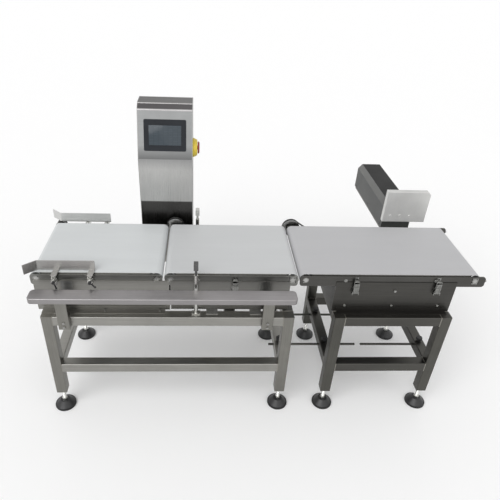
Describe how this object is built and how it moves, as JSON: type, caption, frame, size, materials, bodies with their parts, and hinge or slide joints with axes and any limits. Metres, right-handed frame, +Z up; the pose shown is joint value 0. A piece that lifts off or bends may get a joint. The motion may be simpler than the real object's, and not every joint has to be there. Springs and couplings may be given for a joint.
{
  "type": "checkweigher",
  "caption": "Checkweigher with belt conveyors on stainless tube stands, a control cabinet with a touch screen and a pneumatic reject pusher.",
  "frame": {"origin": "on the floor, under the middle of the whole machine's bounding box", "axes": "+X is the way the goods travel, from the infeed guides to the reject end; +Y goes from the operator's side to the cabinet's side; +Z is up"},
  "size_m": [2.0412, 1.15, 1.3556],
  "materials": {
    "stand_steel": "satin, brushed along the tubes",
    "sheet_steel": "satin sheet",
    "cabinet_steel": "satin sheet, brushed upright",
    "plate_aluminium": "satin anodised",
    "roller_aluminium": "turned",
    "belt_cover": "smooth matt",
    "black_rubber": "matt",
    "black_plastic": "fine grain",
    "bright_steel": "polished",
    "motor_paint": "semi-gloss",
    "guard_paint": "satin",
    "screen_plastic": "gloss glass in a satin bezel",
    "stop_yellow": "satin",
    "stop_red": "gloss",
    "gear_grey": "matt",
    "cell_aluminium": "machined",
    "eye_case": "satin"
  },
  "bodies": {
    "machine": {"stand_legs": "stand_steel", "stand_rails": "stand_steel", "front_bar": "sheet_steel", "front_bar_posts": "stand_steel", "link_rods": "stand_steel", "rod_clamps": "black_plastic", "infeed_base": "sheet_steel", "weigh_base": "sheet_steel", "outfeed_base": "sheet_steel", "blanking_plugs": "black_plastic", "infeed_side_plates": "plate_aluminium", "weigh_side_plates": "plate_aluminium", "outfeed_side_plates": "plate_aluminium", "infeed_belt": "belt_cover", "weigh_belt": "belt_cover", "outfeed_belt": "belt_cover", "slider_beds": "sheet_steel", "drive_motors": "motor_paint", "timing_belts": "black_rubber", "roller_bearings": "bright_steel", "frame_bolts": "bright_steel", "load_cell": "cell_aluminium", "cabinet_cheeks": "cabinet_steel", "cabinet_wrap": "cabinet_steel", "touch_screen": "screen_plastic", "e_stop_base": "stop_yellow", "control_gear": "gear_grey", "support_brackets": "sheet_steel", "pusher_guard": "guard_paint", "pusher_cylinder": "cell_aluminium", "post_clamps": "stand_steel", "latch_bases": "bright_steel"},
    "infeed_drive_roller": {"infeed_drive_roller": "roller_aluminium"},
    "infeed_tail_roller": {"infeed_tail_roller": "roller_aluminium"},
    "infeed_motor_pulley": {"infeed_motor_pulley": "roller_aluminium"},
    "weigh_drive_roller": {"weigh_drive_roller": "roller_aluminium"},
    "weigh_tail_roller": {"weigh_tail_roller": "roller_aluminium"},
    "weigh_motor_pulley": {"weigh_motor_pulley": "roller_aluminium"},
    "outfeed_drive_roller": {"outfeed_drive_roller": "roller_aluminium"},
    "outfeed_tail_roller": {"outfeed_tail_roller": "roller_aluminium"},
    "outfeed_motor_pulley": {"outfeed_motor_pulley": "roller_aluminium"},
    "foot_1": {"levelling_foot_1": "black_plastic"},
    "foot_2": {"levelling_foot_2": "black_plastic"},
    "foot_3": {"levelling_foot_3": "black_plastic"},
    "foot_4": {"levelling_foot_4": "black_plastic"},
    "foot_5": {"levelling_foot_5": "black_plastic"},
    "foot_6": {"levelling_foot_6": "black_plastic"},
    "foot_7": {"levelling_foot_7": "black_plastic"},
    "foot_8": {"levelling_foot_8": "black_plastic"},
    "e_stop_button": {"e_stop_button": "stop_red"},
    "rear_door": {"cabinet_rear_door": "cabinet_steel"},
    "door_lock": {"door_lock": "bright_steel"},
    "pusher_head": {"pusher_head": "sheet_steel"},
    "guide_front": {"infeed_guide_front": "sheet_steel"},
    "photo_eye_front": {"photo_eye_front": "eye_case"},
    "guide_rear": {"infeed_guide_rear": "sheet_steel"},
    "photo_eye_rear": {"photo_eye_rear": "eye_case"},
    "latch_1": {"latch_lever_1": "bright_steel"},
    "latch_2": {"latch_lever_2": "bright_steel"},
    "latch_3": {"latch_lever_3": "bright_steel"}
  },
  "joints": [
    {"name": "infeed_drive_spin", "type": "hinge", "parent": "machine", "child": "infeed_drive_roller", "pos_m": [-0.97939, -0.225, 0.758], "axis": [0, 1, 0], "continuous": true},
    {"name": "infeed_tail_spin", "type": "hinge", "parent": "machine", "child": "infeed_tail_roller", "pos_m": [-0.46339, -0.225, 0.758], "axis": [0, 1, 0], "continuous": true},
    {"name": "infeed_motor_spin", "type": "hinge", "parent": "machine", "child": "infeed_motor_pulley", "pos_m": [-0.91339, -0.225, 0.655], "axis": [0, 1, 0], "continuous": true},
    {"name": "weigh_drive_spin", "type": "hinge", "parent": "machine", "child": "weigh_drive_roller", "pos_m": [-0.40339, -0.225, 0.758], "axis": [0, 1, 0], "continuous": true},
    {"name": "weigh_tail_spin", "type": "hinge", "parent": "machine", "child": "weigh_tail_roller", "pos_m": [0.13561, -0.225, 0.758], "axis": [0, 1, 0], "continuous": true},
    {"name": "weigh_motor_spin", "type": "hinge", "parent": "machine", "child": "weigh_motor_pulley", "pos_m": [-0.33739, -0.225, 0.655], "axis": [0, 1, 0], "continuous": true},
    {"name": "outfeed_drive_spin", "type": "hinge", "parent": "machine", "child": "outfeed_drive_roller", "pos_m": [0.19561, -0.225, 0.758], "axis": [0, 1, 0], "continuous": true},
    {"name": "outfeed_tail_spin", "type": "hinge", "parent": "machine", "child": "outfeed_tail_roller", "pos_m": [0.96861, -0.225, 0.758], "axis": [0, 1, 0], "continuous": true},
    {"name": "outfeed_motor_spin", "type": "hinge", "parent": "machine", "child": "outfeed_motor_pulley", "pos_m": [0.38561, -0.225, 0.655], "axis": [0, 1, 0], "continuous": true},
    {"name": "foot_1_turn", "type": "hinge", "parent": "machine", "child": "foot_1", "pos_m": [-0.94939, -0.485, 0.06], "axis": [0, 0, 1], "continuous": true},
    {"name": "foot_2_turn", "type": "hinge", "parent": "machine", "child": "foot_2", "pos_m": [-0.94939, 0.035, 0.06], "axis": [0, 0, 1], "continuous": true},
    {"name": "foot_3_turn", "type": "hinge", "parent": "machine", "child": "foot_3", "pos_m": [0.13061, -0.485, 0.06], "axis": [0, 0, 1], "continuous": true},
    {"name": "foot_4_turn", "type": "hinge", "parent": "machine", "child": "foot_4", "pos_m": [0.13061, 0.035, 0.06], "axis": [0, 0, 1], "continuous": true},
    {"name": "foot_5_turn", "type": "hinge", "parent": "machine", "child": "foot_5", "pos_m": [0.36561, -0.485, 0.06], "axis": [0, 0, 1], "continuous": true},
    {"name": "foot_6_turn", "type": "hinge", "parent": "machine", "child": "foot_6", "pos_m": [0.36561, 0.035, 0.06], "axis": [0, 0, 1], "continuous": true},
    {"name": "foot_7_turn", "type": "hinge", "parent": "machine", "child": "foot_7", "pos_m": [0.86361, -0.485, 0.06], "axis": [0, 0, 1], "continuous": true},
    {"name": "foot_8_turn", "type": "hinge", "parent": "machine", "child": "foot_8", "pos_m": [0.86361, 0.035, 0.06], "axis": [0, 0, 1], "continuous": true},
    {"name": "e_stop_press", "type": "slide", "parent": "machine", "child": "e_stop_button", "axis": [-1, 0, 0], "range_m": [0, 0.006]},
    {"name": "rear_door_swing", "type": "hinge", "parent": "machine", "child": "rear_door", "pos_m": [-0.58339, 0.242, 0.975], "axis": [0, 0, 1], "range_deg": [0, 110]},
    {"name": "door_lock_turn", "type": "hinge", "parent": "rear_door", "child": "door_lock", "pos_m": [-0.34789, 0.242, 0.96], "axis": [0, -1, 0], "range_deg": [0, 90]},
    {"name": "pusher_stroke", "type": "slide", "parent": "machine", "child": "pusher_head", "axis": [0, -1, 0], "range_m": [0, 0.3]},
    {"name": "guide_front_height", "type": "slide", "parent": "machine", "child": "guide_front", "axis": [0, 0, 1], "range_m": [0, 0.025]},
    {"name": "photo_eye_front_height", "type": "slide", "parent": "machine", "child": "photo_eye_front", "axis": [0, 0, 1], "range_m": [-0.025, 0.05]},
    {"name": "guide_rear_height", "type": "slide", "parent": "machine", "child": "guide_rear", "axis": [0, 0, 1], "range_m": [0, 0.025]},
    {"name": "photo_eye_rear_height", "type": "slide", "parent": "machine", "child": "photo_eye_rear", "axis": [0, 0, 1], "range_m": [-0.025, 0.05]},
    {"name": "latch_1_swing", "type": "hinge", "parent": "machine", "child": "latch_1", "pos_m": [-0.11839, -0.464, 0.7], "axis": [1, 0, 0], "range_deg": [0, 35]},
    {"name": "latch_2_swing", "type": "hinge", "parent": "machine", "child": "latch_2", "pos_m": [0.42361, -0.464, 0.7], "axis": [1, 0, 0], "range_deg": [0, 110]},
    {"name": "latch_3_swing", "type": "hinge", "parent": "machine", "child": "latch_3", "pos_m": [0.79861, -0.464, 0.7], "axis": [1, 0, 0], "range_deg": [0, 110]}
  ],
  "couplings": [
    {"joint": "infeed_tail_spin", "follows": "infeed_drive_spin", "ratio": 1},
    {"joint": "infeed_motor_spin", "follows": "infeed_drive_spin", "ratio": 1},
    {"joint": "weigh_tail_spin", "follows": "weigh_drive_spin", "ratio": 1},
    {"joint": "weigh_motor_spin", "follows": "weigh_drive_spin", "ratio": 1.9286},
    {"joint": "outfeed_tail_spin", "follows": "outfeed_drive_spin", "ratio": 1},
    {"joint": "outfeed_motor_spin", "follows": "outfeed_drive_spin", "ratio": 1.9286}
  ]
}
